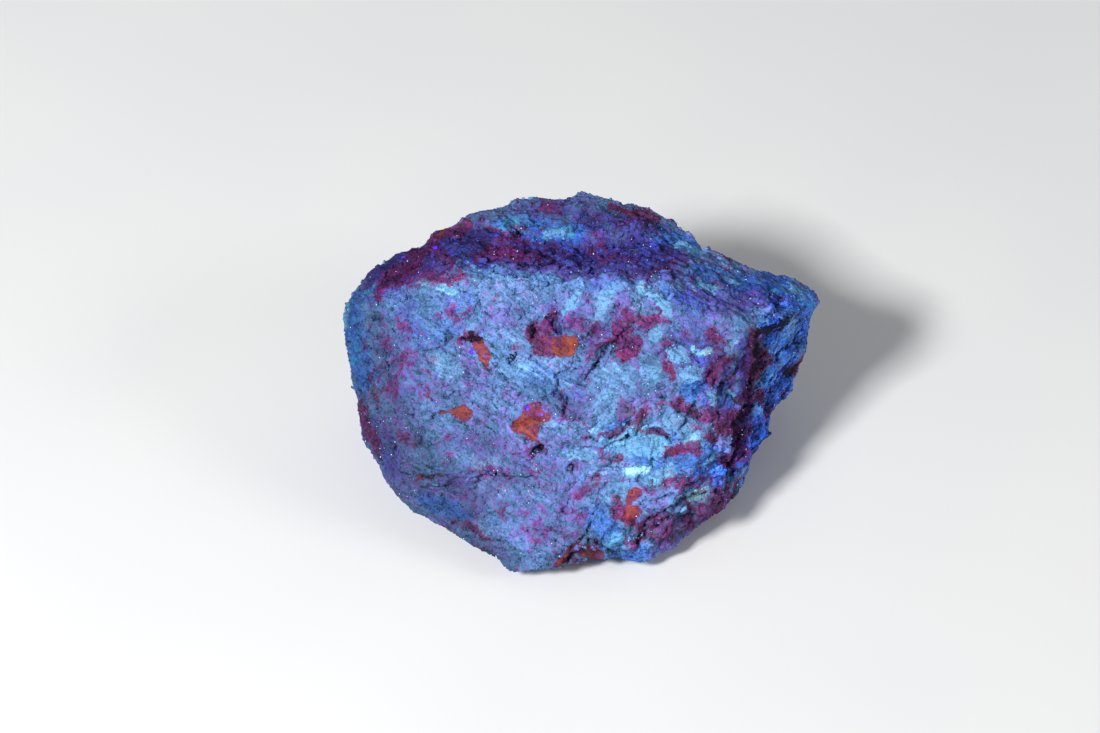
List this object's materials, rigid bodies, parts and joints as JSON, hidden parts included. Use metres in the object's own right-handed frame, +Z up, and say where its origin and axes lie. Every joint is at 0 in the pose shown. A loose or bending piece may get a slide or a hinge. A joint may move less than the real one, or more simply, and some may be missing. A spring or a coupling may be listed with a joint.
{
  "type": "pegmatite",
  "caption": "Hand specimen of coarse pegmatite: one broken block of pale sugary feldspar with redder bands and orange flakes, flat enough below to rest by itself.",
  "frame": {"origin": "under the middle of the stone's bounding box, on the surface that it rests on", "axes": "+Z up; +X along the stone's longest side, to the right as one faces the broad pale face; the broad face looks towards -Y and up"},
  "size_m": [0.1208, 0.0956, 0.0615],
  "materials": {
    "pegmatite": "rough, sugary broken feldspar, pale steel-blue and lavender with magenta-red patches, orange flakes and small bright cleavage chips"
  },
  "bodies": {
    "root": {"pegmatite": "pegmatite"}
  },
  "joints": []
}
